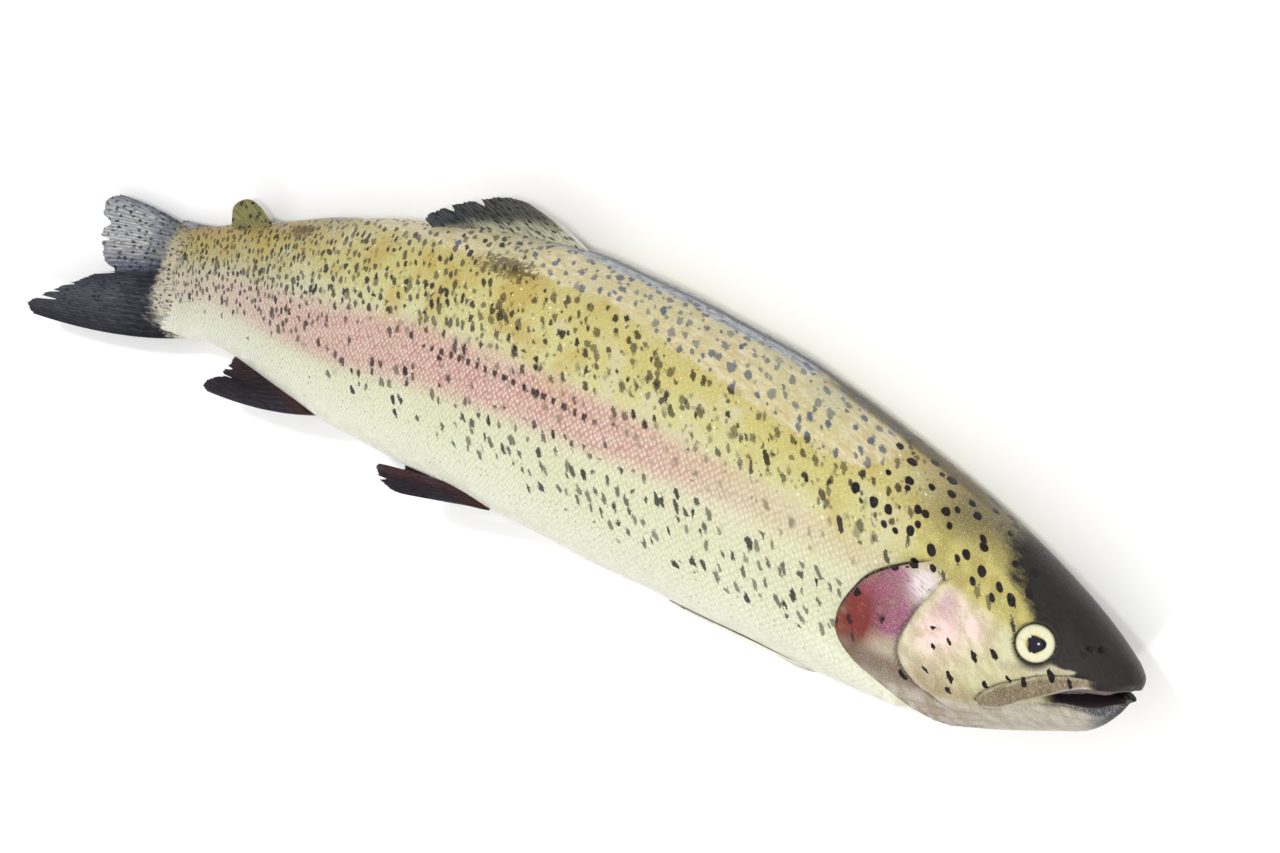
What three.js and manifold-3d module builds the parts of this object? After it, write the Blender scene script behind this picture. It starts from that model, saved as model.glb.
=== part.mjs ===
// A whole raw rainbow trout lying on its left flank, ungutted, mouth a little open.
// Millimetres. +X runs to the snout, +Y to the back of the fish, +Z up from the table.
// The trunk, head, jaws and gill covers grew as one piece and are one solid; the fins and
// the eyeballs are pieces of their own, each seated with a small gap.

import * as THREE from 'three';
import { mergeVertices } from 'three/addons/utils/BufferGeometryUtils.js';
import Module from 'manifold-3d';

const wasm = await Module();
wasm.setup();

// ---- Driving dimensions ----

const BODY_LENGTH = 370;      // snout tip to the end of the scaled tail stalk
const SNOUT_X = 200;          // the snout tip on the X axis, before the fish is centred
const SNOUT_RADIUS = 6;       // length over which the snout rounds off
const STALK_RADIUS = 2;       // length over which the end of the tail stalk rounds off
const FULLNESS = 0.88;        // 1 is a true ellipse, less is squarer
const GAP = 0.3;              // clearance between neighbouring pieces

const ROWS = 58;              // faces along the body
const AROUND = 36;            // faces round the body
const HEAD_CROWDING = 1.3;    // above 1 crowds the rows towards the head

const EYE_RADIUS = 7;
const EYE_CENTRE = { x: 171.4, y: 2.4, offset: 9.2 };    // offset is from the middle of the head
const HEAD_MIDDLE_Z = 21;

const GROOVE_WIDTH = 0.9;
const GROOVE_DEPTH = 1.6;
const FIN_THICKNESS = 2;
const CUTTER_DEPTH = 90;      // goes right through the head from side to side

const EYE_AROUND = 18;
const EYE_ROWS = 12;
const STRIP_STEPS = 3;        // straight runs between two points of a groove

// Stations behind the snout: how high the back and how low the belly run, half the body's
// width, the height of its middle over the table, and its roll, which turns the belly up.
const STATIONS = [
  { at: 0, back: -0.5, belly: -5, halfWidth: 3, middle: 20, roll: 0 },
  { at: 7, back: 5, belly: -13, halfWidth: 8, middle: 20, roll: 0 },
  { at: 18, back: 12.5, belly: -20, halfWidth: 12, middle: 20.5, roll: 0 },
  { at: 44, back: 25.5, belly: -30, halfWidth: 18, middle: 21.5, roll: 0 },
  { at: 64, back: 33, belly: -32, halfWidth: 21.5, middle: 22, roll: 0 },
  { at: 110, back: 46.5, belly: -31.5, halfWidth: 25, middle: 23, roll: 0 },
  { at: 148, back: 52.5, belly: -31, halfWidth: 26, middle: 23.5, roll: 0 },
  { at: 185, back: 54.5, belly: -30, halfWidth: 25.5, middle: 23, roll: 0 },
  { at: 222, back: 51, belly: -29.5, halfWidth: 23, middle: 21.5, roll: 2 },
  { at: 260, back: 43, belly: -29, halfWidth: 19, middle: 19, roll: 6 },
  { at: 290, back: 34.5, belly: -27, halfWidth: 15, middle: 16.5, roll: 8 },
  { at: 315, back: 26.5, belly: -24.5, halfWidth: 11.5, middle: 13.5, roll: 9 },
  { at: 335, back: 20, belly: -24.5, halfWidth: 8.5, middle: 11, roll: 9 },
  { at: 352, back: 13.5, belly: -27.5, halfWidth: 6, middle: 9.5, roll: 8 },
  { at: 370, back: 10.5, belly: -30.5, halfWidth: 3.5, middle: 8.5, roll: 8 },
];

// Lines on the side of the head, seen from the side: [x, y].
const GILL_EDGE = [
  [146, 14], [137, 12.5], [130, 6], [126, -1], [124.5, -9], [127, -16], [134, -21], [145, -26],
];
const CHEEK_EDGE = [
  [147, 10.5], [145, 4], [143, -3], [142.5, -11], [145.5, -17], [152, -20], [161, -20],
];
const JAW_BONE_EDGE = [[186, -1.5], [176, -4.5], [168, -10], [163, -16], [165, -19.5], [171, -15.5]];
const MOUTH_GAP = [
  [203, -2.6], [190, -3.4], [184, -5], [180, -7.8], [176.5, -11],
  [181, -10], [186, -8.6], [192, -7.2], [203, -6.4],
];

// Fins. Each has a root point, the way it points, the way its rays fan out, and an outline
// [along, across] from the root. The outline starts and ends inside the body.
const MEDIAN_FINS = [
  {
    name: 'dorsal_fin', colour: 0x5b5a48, root: [17, 54.5, 24],
    along: [-0.987, -0.16, 0], across: [-0.16, 0.987, -0.3],
    outline: [[3, -8], [0, 0], [7.5, 5], [20, 8.8], [30, 12.6], [41, 13.3], [50, 11.2],
      [62, 6.2], [67, 3.5], [64, 1.4], [60, 0.8], [57, -3], [50, -10]],
  },
  {
    name: 'adipose_fin', colour: 0x6f6a4a, root: [-119, 24, 13],
    along: [-0.96, -0.28, 0], across: [-0.28, 0.96, 0.05],
    outline: [[0, -5], [1, 0], [6, 4.6], [10, 7.6], [14.5, 7.6], [18.5, 5], [20.5, 1.5],
      [19.5, -1.6], [14, -1.8], [9, -5]],
  },
  {
    name: 'caudal_fin', colour: 0x4d5154, root: [-150, -8, 9],
    along: [-1, 0, 0], across: [0, 1, -0.14],
    outline: [[2, 13], [11, 18.6], [28, 19.7], [40, 18.6], [52, 18.8], [57, 16.7], [60.5, 12],
      [58.5, 8.2], [52, 7.6], [56, 5.5], [57, 1], [52.5, -3], [50.5, -7], [40, -8], [51, -11],
      [64, -20], [77.5, -28.3], [82.5, -31.9], [83.5, -35], [80, -36], [64, -35.6],
      [43, -31.7], [23, -27.3], [4, -22.6], [-3, -20], [-11, -15.5], [-6, -11]],
  },
  {
    name: 'anal_fin', colour: 0x2b2428, root: [-76, -31, 22],
    along: [-1, 0, -0.12], across: [0, -1, 0.2],
    outline: [[4, -7], [-3, -2.5], [0, 0], [9, 1], [19, 2.8], [29, 4.8], [39, 7.2], [49, 8.6],
      [57, 9.2], [58.5, 7.5], [56, 4.4], [49, 1], [52.5, 1], [51, -4], [48.5, -9], [44, -14]],
  },
];

// The paired fins are given for the right side; the left one is their mirror image.
const PAIRED_FINS = [
  {
    name: 'pelvic_fin', colour: 0x3a2b30, root: [3, -25.5, 33],
    along: [-1, -0.1, 0.01], across: [0, -0.55, -0.83],
    outline: [[3, -3], [-1, 1], [0, 3], [14, 5.5], [30, 9], [42, 11], [49, 7], [50, 3],
      [46, 0], [30, -1.5], [12, -3]],
  },
  {
    name: 'pectoral_fin', colour: 0x4a3d3a, root: [119, -31.5, 29.9],
    along: [-1, -0.03, -0.02], across: [0, -0.22, -0.97],
    outline: [[4, -2.5], [-1, 0], [0, 2.5], [16, 5], [34, 6.5], [46, 5.5], [52, 3], [51, 0],
      [44, -3], [28, -4], [10, -3.5]],
  },
];

// ---- The body's surface ----

const stationLookup = new THREE.CubicInterpolant(
  STATIONS.map((s) => s.at),
  STATIONS.flatMap((s) => [s.back, s.belly, s.halfWidth, s.middle, s.roll]),
  5,
);

/** Round off an end: 0 at the tip, 1 from one radius inwards. */
function endRounding(distance, radius) {
  const t = Math.min(distance / radius, 1);
  return Math.sqrt(1 - (1 - t) ** 2);
}

/** A cosine or sine pushed out towards a square. */
function fuller(value) {
  return Math.sign(value) * Math.abs(value) ** FULLNESS;
}

/** The point at a distance behind the snout and an angle round the body, grown by a skin. */
function bodyPoint(distance, angle, growth) {
  const [back, belly, halfWidth, middle, rollDegrees] = stationLookup.evaluate(distance);
  const ends = endRounding(distance, SNOUT_RADIUS) * endRounding(BODY_LENGTH - distance, STALK_RADIUS);
  const up = ((back - belly) / 2 + growth) * ends * fuller(Math.cos(angle));
  const out = (halfWidth + growth) * ends * fuller(Math.sin(angle));
  const roll = THREE.MathUtils.degToRad(rollDegrees);
  const y = (back + belly) / 2 + up * Math.cos(roll) + out * Math.sin(roll);
  const z = middle + out * Math.cos(roll) - up * Math.sin(roll);
  const stretch = 1 + (2 * growth) / BODY_LENGTH;
  return new THREE.Vector3(SNOUT_X + growth - distance * stretch, y, Math.max(z, -growth));
}

/** The whole body as a closed surface: a ball whose rings are moved onto the stations. */
function bodyGeometry(growth) {
  const geometry = new THREE.SphereGeometry(1, AROUND, ROWS);
  const position = geometry.attributes.position;
  for (let i = 0; i < position.count; i += 1) {
    const polar = Math.acos(THREE.MathUtils.clamp(position.getY(i), -1, 1)) / Math.PI;
    const angle = Math.atan2(position.getX(i), position.getZ(i));
    const point = bodyPoint(BODY_LENGTH * polar ** HEAD_CROWDING, angle, growth);
    position.setXYZ(i, point.x, point.y, point.z);
  }
  return geometry;
}

// ---- Joining and cutting ----

function toSolid(geometry) {
  const bare = geometry.clone();
  bare.deleteAttribute('normal');
  bare.deleteAttribute('uv');
  const merged = mergeVertices(bare);
  return new wasm.Manifold(new wasm.Mesh({
    numProp: 3,
    vertProperties: Float32Array.from(merged.attributes.position.array),
    triVerts: Uint32Array.from(merged.index.array),
  }));
}

function toGeometry(solid) {
  const mesh = solid.getMesh();
  const geometry = new THREE.BufferGeometry();
  geometry.setAttribute('position', new THREE.BufferAttribute(mesh.vertProperties, 3));
  geometry.setIndex(new THREE.BufferAttribute(mesh.triVerts, 1));
  geometry.computeVertexNormals();
  return geometry;
}

/** A flat outline given thickness, centred on its own plane. */
function plate(points, thickness) {
  const shape = new THREE.Shape(points.map(([x, y]) => new THREE.Vector2(x, y)));
  const geometry = new THREE.ExtrudeGeometry(shape, { depth: thickness, bevelEnabled: false });
  return geometry.translate(0, 0, -thickness / 2);
}

/** A narrow strip along a smooth line through the points, cut right across the head. */
function strip(points, width) {
  const line = new THREE.SplineCurve(points.map(([x, y]) => new THREE.Vector2(x, y)));
  const steps = (points.length - 1) * STRIP_STEPS;
  const left = [];
  const right = [];
  for (let i = 0; i <= steps; i += 1) {
    const centre = line.getPoint(i / steps);
    const tangent = line.getTangent(i / steps);
    left.push([centre.x - (tangent.y * width) / 2, centre.y + (tangent.x * width) / 2]);
    right.unshift([centre.x + (tangent.y * width) / 2, centre.y - (tangent.x * width) / 2]);
  }
  return toSolid(plate([...left, ...right], CUTTER_DEPTH));
}

function ball(radius, side) {
  const geometry = new THREE.SphereGeometry(radius, EYE_AROUND, EYE_ROWS);
  return geometry.translate(EYE_CENTRE.x, EYE_CENTRE.y, HEAD_MIDDLE_Z + side * EYE_CENTRE.offset);
}

// ---- The pieces ----

const bodyClearance = toSolid(bodyGeometry(GAP));

/** The body with its mouth gap, eye sockets and the grooves round the gill covers and jaws. */
function bodySolid() {
  const core = toSolid(bodyGeometry(-GROOVE_DEPTH));
  let solid = toSolid(bodyGeometry(0));
  for (const line of [GILL_EDGE, CHEEK_EDGE, JAW_BONE_EDGE]) {
    solid = solid.subtract(strip(line, GROOVE_WIDTH).subtract(core));
  }
  solid = solid.subtract(toSolid(plate(MOUTH_GAP, CUTTER_DEPTH)));
  for (const side of [1, -1]) {
    solid = solid.subtract(toSolid(ball(EYE_RADIUS + GAP, side)));
  }
  return solid;
}

/** A fin: its plate stood at its root, less whatever lies inside the body. */
function finSolid(fin, mirrored) {
  const along = new THREE.Vector3(...fin.along).normalize();
  const normal = new THREE.Vector3().crossVectors(along, new THREE.Vector3(...fin.across)).normalize();
  const across = new THREE.Vector3().crossVectors(normal, along);
  const place = new THREE.Matrix4().makeBasis(along, across, normal).setPosition(...fin.root);
  const geometry = plate(fin.outline, FIN_THICKNESS).applyMatrix4(place);
  let solid = toSolid(geometry);
  if (mirrored) {
    const middle = stationLookup.evaluate(SNOUT_X - fin.root[0])[3];
    solid = solid.translate([0, 0, -middle]).mirror([0, 0, 1]).translate([0, 0, middle]);
  }
  return solid.subtract(bodyClearance);
}

const fish = new THREE.Group();

function addPiece(name, geometry, colour, roughness) {
  const material = new THREE.MeshStandardMaterial({ color: colour, roughness, metalness: 0 });
  const mesh = new THREE.Mesh(geometry, material);
  mesh.name = name;
  fish.add(mesh);
}

addPiece('body', toGeometry(bodySolid()), 0xb3ab6c, 0.3);
for (const fin of MEDIAN_FINS) {
  addPiece(fin.name, toGeometry(finSolid(fin, false)), fin.colour, 0.35);
}
for (const fin of PAIRED_FINS) {
  addPiece(`${fin.name}_right`, toGeometry(finSolid(fin, false)), fin.colour, 0.35);
  addPiece(`${fin.name}_left`, toGeometry(finSolid(fin, true)), fin.colour, 0.35);
}
addPiece('eye_right', ball(EYE_RADIUS, 1), 0xd8cf9a, 0.1);
addPiece('eye_left', ball(EYE_RADIUS, -1), 0xd8cf9a, 0.1);

// The origin is the middle of the fish's footprint, on the table.
const bounds = new THREE.Box3().setFromObject(fish);
const centre = bounds.getCenter(new THREE.Vector3());
fish.position.set(-centre.x, -centre.y, -bounds.min.z);

export default fish;
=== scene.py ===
"""A whole raw rainbow trout lying on its left flank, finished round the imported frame.

The skin is one surface shaped from the same stations as the solid; head parts, gill slits and
mouth are raised and sunk on it by vertex moves. Lengths are millimetres until a mesh is placed.
"""
import math

import bmesh
import bpy
import numpy as np
from mathutils import Matrix, Vector


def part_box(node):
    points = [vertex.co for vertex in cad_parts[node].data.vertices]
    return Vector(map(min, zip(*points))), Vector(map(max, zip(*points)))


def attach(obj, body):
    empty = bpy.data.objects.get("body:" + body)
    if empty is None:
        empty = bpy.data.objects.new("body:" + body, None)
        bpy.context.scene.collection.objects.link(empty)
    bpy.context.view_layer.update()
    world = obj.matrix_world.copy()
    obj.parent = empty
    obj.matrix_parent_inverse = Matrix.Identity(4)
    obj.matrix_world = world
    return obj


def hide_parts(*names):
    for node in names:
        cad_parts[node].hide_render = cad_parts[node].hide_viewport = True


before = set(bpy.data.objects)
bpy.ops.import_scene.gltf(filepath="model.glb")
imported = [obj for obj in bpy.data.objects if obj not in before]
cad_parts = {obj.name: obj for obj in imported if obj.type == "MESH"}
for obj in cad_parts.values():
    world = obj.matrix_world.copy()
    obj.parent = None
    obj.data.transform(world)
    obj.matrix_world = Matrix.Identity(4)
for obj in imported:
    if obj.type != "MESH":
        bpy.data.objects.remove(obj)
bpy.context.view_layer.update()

MM = 0.001

# ---- Driving dimensions, as on the solid ----

BODY_LENGTH = 370.0
SNOUT_X = 200.0
BACK_HEIGHT = 54.5
SNOUT_RADIUS = 6.0
STALK_RADIUS = 2.0
FULLNESS = 0.88
STALK_THINNING = 0.55          # how far the tail stalk's end is pressed thin, to meet the fin
STALK_THINS_OVER = (345, 369)

# Behind the snout: back, belly, half width, middle height over the table, roll in degrees.
STATIONS = [
    (0, -0.5, -5, 3, 20, 0),
    (7, 5, -13, 8, 20, 0),
    (18, 12.5, -20, 12, 20.5, 0),
    (44, 25.5, -30, 18, 21.5, 0),
    (64, 33, -32, 21.5, 22, 0),
    (110, 46.5, -31.5, 25, 23, 0),
    (148, 52.5, -31, 26, 23.5, 0),
    (185, 54.5, -30, 25.5, 23, 0),
    (222, 51, -29.5, 23, 21.5, 2),
    (260, 43, -29, 19, 19, 6),
    (290, 34.5, -27, 15, 16.5, 8),
    (315, 26.5, -24.5, 11.5, 13.5, 9),
    (335, 20, -24.5, 8.5, 11, 9),
    (352, 13.5, -27.5, 6, 9.5, 8),
    (370, 10.5, -30.5, 3.5, 8.5, 8),
]

_, BODY_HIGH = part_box("body")
SHIFT = np.array([BODY_HIGH.x / MM - SNOUT_X, BODY_HIGH.y / MM - BACK_HEIGHT, 0.0])

# Angles run from 0 on the back to 180 on the belly. These lines across the head give the
# distance behind the snout at each angle.
CHEEK_EDGE = [(0, 44), (50, 46), (64, 50), (70, 52.5), (80, 54.5), (90, 56.5), (100, 57.8),
              (108, 57.5), (116, 55), (124, 50), (130, 45), (142, 38), (160, 32), (180, 29)]
GILL_EDGE = [(0, 58), (50, 57), (64, 57.5), (72, 62.5), (84, 70), (94, 74), (104, 75.8),
             (110, 75.5), (116, 73.5), (123, 69), (130, 62.5), (142, 54), (160, 45), (180, 40)]

# Outlines on the side of the head, seen from the side: (x, y).
JAW_BONE = [(192, -0.6), (185, -1.6), (180.5, -3), (176, -4.6), (172, -7.2), (167.5, -10.4),
            (164.5, -13.3), (163, -16.2), (163.8, -18.4), (165.8, -18.6), (169, -16.4),
            (173, -12.9), (177.3, -9.8), (181.5, -6.7), (185.5, -4.5), (192, -3)]
UPPER_LIP = [(163, -18), (169, -16.4), (173, -12.9), (177.3, -9.8), (181.5, -6.7),
             (185.5, -4.4), (190, -3.2), (196, -2.4), (203, -2)]
LOWER_LIP = [(163, -18.6), (169, -17), (173, -13.4), (177, -11), (180, -9.9), (184, -8.4),
             (188.5, -7.4), (193, -6.6), (197, -5.6), (203, -4.6)]
EYE_X, EYE_Y, EYE_OFFSET = 171.4, 2.4, 9.2
EYE_RADIUS = 7.0
EYE_OPENING = 4.9
EYES_MIDDLE_Z = 21
GAZE = (0.20, 0.21, 0.957)
PUPIL_RADIUS = 2.2
VENT = 268                     # behind the snout, on the belly


def smooth_lookup(at, knots):
    """A smooth curve through (position, value...) knots, one column of values or several."""
    table = np.array(knots, float)
    position, values = table[:, 0], table[:, 1:]
    slope = np.diff(values, axis=0) / np.diff(position)[:, None]
    tangent = np.vstack([slope[:1], (slope[1:] + slope[:-1]) / 2, slope[-1:]])
    at = np.clip(np.asarray(at, float), position[0], position[-1])
    i = np.clip(np.searchsorted(position, at) - 1, 0, len(position) - 2)
    width = (position[i + 1] - position[i])[..., None]
    t = (at - position[i])[..., None] / width
    found = ((2 * t**3 - 3 * t**2 + 1) * values[i] + (t**3 - 2 * t**2 + t) * width * tangent[i]
             + (3 * t**2 - 2 * t**3) * values[i + 1] + (t**3 - t**2) * width * tangent[i + 1])
    return found[..., 0] if values.shape[1] == 1 else found


def rise(value, low, high):
    """0 below low, 1 above high, smooth between."""
    t = np.clip((value - low) / (high - low), 0, 1)
    return t * t * (3 - 2 * t)


def hump(value, centre, width):
    return np.exp(-(((value - centre) / width) ** 2))


def spot(x, y, centre, radii, turn=0.0):
    """A soft round patch: 1 in its middle, 0 well outside."""
    c, s = math.cos(math.radians(turn)), math.sin(math.radians(turn))
    u = ((x - centre[0]) * c + (y - centre[1]) * s) / radii[0]
    v = ((y - centre[1]) * c - (x - centre[0]) * s) / radii[1]
    return np.exp(-(u**2 + v**2))


def inside_outline(x, y, outline):
    """Distance to a closed outline, positive inside."""
    points = np.array(outline, float)
    nearest = np.full(np.shape(x), 1e9)
    crossings = np.zeros(np.shape(x), int)
    for (ax, ay), (bx, by) in zip(points, np.roll(points, -1, axis=0)):
        length = (bx - ax) ** 2 + (by - ay) ** 2
        t = np.clip(((x - ax) * (bx - ax) + (y - ay) * (by - ay)) / length, 0, 1)
        nearest = np.minimum(nearest, np.hypot(x - ax - t * (bx - ax), y - ay - t * (by - ay)))
        spans = (ay > y) != (by > y)
        reach = ax + (y - ay) * (bx - ax) / (by - ay if by != ay else 1e-9)
        crossings += spans & (x < reach)
    return np.where(crossings % 2 == 1, nearest, -nearest)


def body_surface(behind, angle):
    """Points of the plain skin at distances behind the snout and angles in degrees."""
    back, belly, half_width, middle, roll = np.moveaxis(smooth_lookup(behind, STATIONS), -1, 0)
    ends = np.ones_like(behind)
    for distance, radius in ((behind, SNOUT_RADIUS), (BODY_LENGTH - behind, STALK_RADIUS)):
        ends = ends * np.sqrt(1 - (1 - np.clip(distance / radius, 0, 1)) ** 2)
    cosine, sine = np.cos(np.radians(angle)), np.sin(np.radians(angle))
    up = (back - belly) / 2 * ends * np.sign(cosine) * np.abs(cosine) ** FULLNESS
    out = half_width * ends * np.sign(sine) * np.abs(sine) ** FULLNESS
    out = out * (1 - STALK_THINNING * rise(behind, *STALK_THINS_OVER))
    roll = np.radians(roll)
    y = (back + belly) / 2 + up * np.cos(roll) + out * np.sin(roll)
    z = middle + out * np.cos(roll) - up * np.sin(roll)
    return np.stack([SNOUT_X - behind, y, z], -1)


def body_normal(behind, angle):
    step = 0.4
    ahead = np.clip(behind - step, 0, BODY_LENGTH)
    after = np.clip(behind + step, 0, BODY_LENGTH)
    lengthwise = body_surface(after, angle) - body_surface(ahead, angle)
    girthwise = body_surface(behind, angle + step) - body_surface(behind, angle - step)
    normal = np.cross(lengthwise, girthwise)
    size = np.linalg.norm(normal, axis=-1, keepdims=True)
    pole = np.array([1.0, 0.0, 0.0])
    return np.where(size > 1e-6, normal / np.maximum(size, 1e-6), pole)


# ---- Turning grids into pieces ----

WELD = 2e-6


def in_scene(name, data):
    thing = bpy.data.objects.new(name, data)
    bpy.context.scene.collection.objects.link(thing)
    return thing


def add_mark(mesh, label, values):
    layer = mesh.attributes.new(label, "FLOAT", "POINT")
    layer.data.foreach_set("value", values.astype(np.float32))


def smooth(bm):
    bmesh.ops.recalc_face_normals(bm, faces=bm.faces)
    for face in bm.faces:
        face.smooth = True


def grid_mesh(name, rows, columns, place, extras):
    """A grid moved onto a surface. place(i, j) gives points in millimetres, extras(i, j)
    gives {attribute: values}; an attribute of two columns becomes a UV map."""
    bm = bmesh.new()
    bmesh.ops.create_grid(bm, x_segments=rows, y_segments=columns, size=0.5)
    flat = np.array([v.co[:2] for v in bm.verts])
    i = np.rint((flat[:, 0] + 0.5) * rows)
    j = np.rint((flat[:, 1] + 0.5) * columns)
    mesh = bpy.data.meshes.new(name)
    bm.to_mesh(mesh)
    bm.free()
    points = (place(i, j) + SHIFT) * MM
    mesh.vertices.foreach_set("co", points.astype(np.float32).ravel())
    corner = np.zeros(len(mesh.loops), int)
    mesh.loops.foreach_get("vertex_index", corner)
    for label, values in extras(i, j).items():
        if values.ndim == 2:
            layer = mesh.uv_layers.new(name=label)
            layer.uv.foreach_set("vector", values[corner].astype(np.float32).ravel())
        else:
            add_mark(mesh, label, values)
    bm = bmesh.new()
    bm.from_mesh(mesh)
    bmesh.ops.remove_doubles(bm, verts=bm.verts, dist=WELD)
    rims = [e for e in bm.edges if e.is_boundary]
    if rims:
        bmesh.ops.holes_fill(bm, edges=rims, sides=0)
    smooth(bm)
    bm.to_mesh(mesh)
    bm.free()
    return in_scene(name, mesh)


def hand_over(piece, finish, slot, *nodes):
    piece.data.materials.append(finish)
    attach(piece, "root")
    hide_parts(*nodes)


# ---- Materials ----

class Wire:
    """A shader socket that takes part in sums."""

    def __init__(self, finish, socket):
        self.finish, self.socket = finish, socket

    def maths(self, operation, *values):
        return self.finish.node("ShaderNodeMath", {"operation": operation}, dict(enumerate(values)))

    def __add__(self, other):
        return self.maths("ADD", self, other)

    def __sub__(self, other):
        return self.maths("SUBTRACT", self, other)

    def __rsub__(self, other):
        return self.maths("SUBTRACT", other, self)

    def __mul__(self, other):
        return self.maths("MULTIPLY", self, other)

    def __truediv__(self, other):
        return self.maths("DIVIDE", self, other)

    __radd__ = __add__
    __rmul__ = __mul__


# Marks vary in size and darkness: shares of the full radius and of the full depth.
LEAST_SIZE, VARIED_SIZE = 0.62, 0.45
LEAST_DEPTH = 0.65
RAGGEDNESS = 0.45


class Finish:
    """A material whose nodes are added by plain calls."""

    def __init__(self, name):
        self.material = bpy.data.materials.new(name)
        self.material.use_nodes = True
        self.tree = self.material.node_tree
        self.shader = self.tree.nodes["Principled BSDF"]

    def node(self, kind, settings=None, values=None, out=0):
        made = self.tree.nodes.new(kind)
        for key, value in (settings or {}).items():
            if key == "stops":
                self.set_stops(made.color_ramp, value)
            else:
                setattr(made, key, value)
        for key, value in (values or {}).items():
            self.feed(made.inputs[key], value)
        return Wire(self, made.outputs[out])

    def feed(self, socket, value):
        if isinstance(value, Wire):
            self.tree.links.new(value.socket, socket)
        elif socket.type == "RGBA" and len(value) == 3:
            socket.default_value = (*value, 1)
        else:
            socket.default_value = value

    @staticmethod
    def set_stops(ramp, stops):
        while len(ramp.elements) < len(stops):
            ramp.elements.new(1)
        for element, (at, colour) in zip(ramp.elements, stops):
            element.position = at
            element.color = (*colour, 1)

    def mark(self, name):
        return self.node("ShaderNodeAttribute", {"attribute_name": name}, out="Fac")

    def mix(self, factor, first, second, blend="MIX"):
        return self.node("ShaderNodeMix", {"data_type": "RGBA", "blend_type": blend},
                         {0: factor, 6: first, 7: second}, out=2)

    def ramp(self, value, stops):
        return self.node("ShaderNodeValToRGB", {"stops": stops}, {0: value})

    def rise(self, value, low, high):
        return self.node("ShaderNodeMapRange", {"interpolation_type": "SMOOTHSTEP"},
                         {0: value, 1: low, 2: high, 3: 0.0, 4: 1.0})

    def flat(self, uv_name, cell=(1, 1), lean=0.0, seed=0.0):
        """The piece's own map counted in cells, millimetres wide and high, leaning over."""
        along, across, _ = self.places(self.node("ShaderNodeUVMap", {"uv_map": uv_name}))
        return self.node("ShaderNodeCombineXYZ", {}, {
            0: (along + across * lean) * (1 / MM / cell[0]),
            1: across * (1 / MM / cell[1]),
            2: seed})

    def noise(self, vector, scale, detail=3.0, roughness=0.55, out=0):
        return self.node("ShaderNodeTexNoise", {}, {
            "Vector": vector, "Scale": scale, "Detail": detail, "Roughness": roughness}, out=out)

    def warp(self, vector, scale, amount):
        """Push a pattern about by a noise."""
        stirred = self.noise(vector, scale, 2.0, out=1)
        centred = self.node("ShaderNodeVectorMath", {"operation": "SUBTRACT"},
                            {0: stirred, 1: (0.5, 0.5, 0.5)})
        scaled = self.node("ShaderNodeVectorMath", {"operation": "SCALE"},
                           {0: centred, "Scale": amount})
        return self.node("ShaderNodeVectorMath", {"operation": "ADD"}, {0: vector, 1: scaled})

    def cells(self, vector, randomness=1.0):
        """How far each place is from its cell's middle, and three random numbers a cell."""
        distance = self.node("ShaderNodeTexVoronoi", {"voronoi_dimensions": "2D"},
                             {"Vector": vector, "Scale": 1.0, "Randomness": randomness})
        return distance, self.channels(Wire(self, distance.socket.node.outputs["Color"]))

    def larger(self, first, second):
        return self.node("ShaderNodeMath", {"operation": "MAXIMUM"}, {0: first, 1: second})

    def channels(self, colour):
        parted = self.node("ShaderNodeSeparateColor", {}, {0: colour}).socket.node
        return [Wire(self, parted.outputs[k]) for k in range(3)]

    def places(self, vector):
        parted = self.node("ShaderNodeSeparateXYZ", {}, {0: vector}).socket.node
        return [Wire(self, parted.outputs[k]) for k in range(3)]

    def bump(self, height, distance):
        return self.node("ShaderNodeBump", {}, {
            "Height": height, "Distance": distance, "Strength": 1.0})

    def scatter(self, kind, density, ragged=None, uv_name="skin"):
        """Marks of one kind, one at most in a cell: more of them where density is high."""
        cell, lean, seed, push, size, softness, freely = kind
        tiles = self.flat(uv_name, cell, lean, seed)
        if push:
            tiles = self.warp(tiles, *push)
        distance, (chance, girth, depth) = self.cells(tiles, freely)
        if ragged is not None:
            distance = distance + (ragged - 0.5) * RAGGEDNESS
        radius = girth * (VARIED_SIZE * size) + LEAST_SIZE * size
        inside = self.rise(radius - distance, 0.0, softness)
        present = self.rise(density - chance, 0.0, 0.05)
        return inside * present * (depth * (1 - LEAST_DEPTH) + LEAST_DEPTH)

    def end(self, **sockets):
        for name, value in sockets.items():
            self.feed(self.shader.inputs[name.replace("_", " ")], value)
        return self.material


# ---- Skin ----

SCALE_LENGTH = 0.9
SCALE_HEIGHT = 1.1
SCALE_SPREAD = 0.42            # how far the scales stray from an even lattice
BEAD_SPACING = 3.7             # along the lateral line
SKIN_RELIEF = 0.30 * MM

# Kinds of mark: a cell's width and height in millimetres, its lean, a seed, how finely and how
# far the pattern is pushed about, the mark's radius in cells, its soft border, how freely it
# lies in its cell.
NUDGED = (1.0, 0.5)
GRIT = ((1.5, 1.7), 0.0, 13.0, (1.1, 0.6), 0.42, 0.20, 0.85)
# The next kind: tiny white painted glints of the wet skin.
GLINT_FLECKS = ((2.7, 2.1), 0.5, 19.0, (1.0, 0.6), 0.16, 0.10, 0.85)
UPPER_SPOTS = ((4.3, 4.9), 0.3, 0.0, NUDGED, 0.33, 0.12, 0.85)
SMALL_SPOTS = ((3.6, 4.2), 0.3, 3.0, NUDGED, 0.26, 0.14, 0.85)
FLANK_SPOTS = ((4.6, 5.0), 0.2, 7.0, NUDGED, 0.32, 0.26, 0.85)
MIDDLE_MARKS = ((3.2, 4.5), 0.45, 17.0, NUDGED, 0.37, 0.12, 0.85)
TAIL_STREAKS = ((2.2, 3.7), 0.45, 11.0, NUDGED, 0.39, 0.12, 0.85)
LOW_MARKS = ((3.5, 5.2), 0.35, 5.0, (2.1, 0.75), 0.34, 0.10, 0.85)
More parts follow.
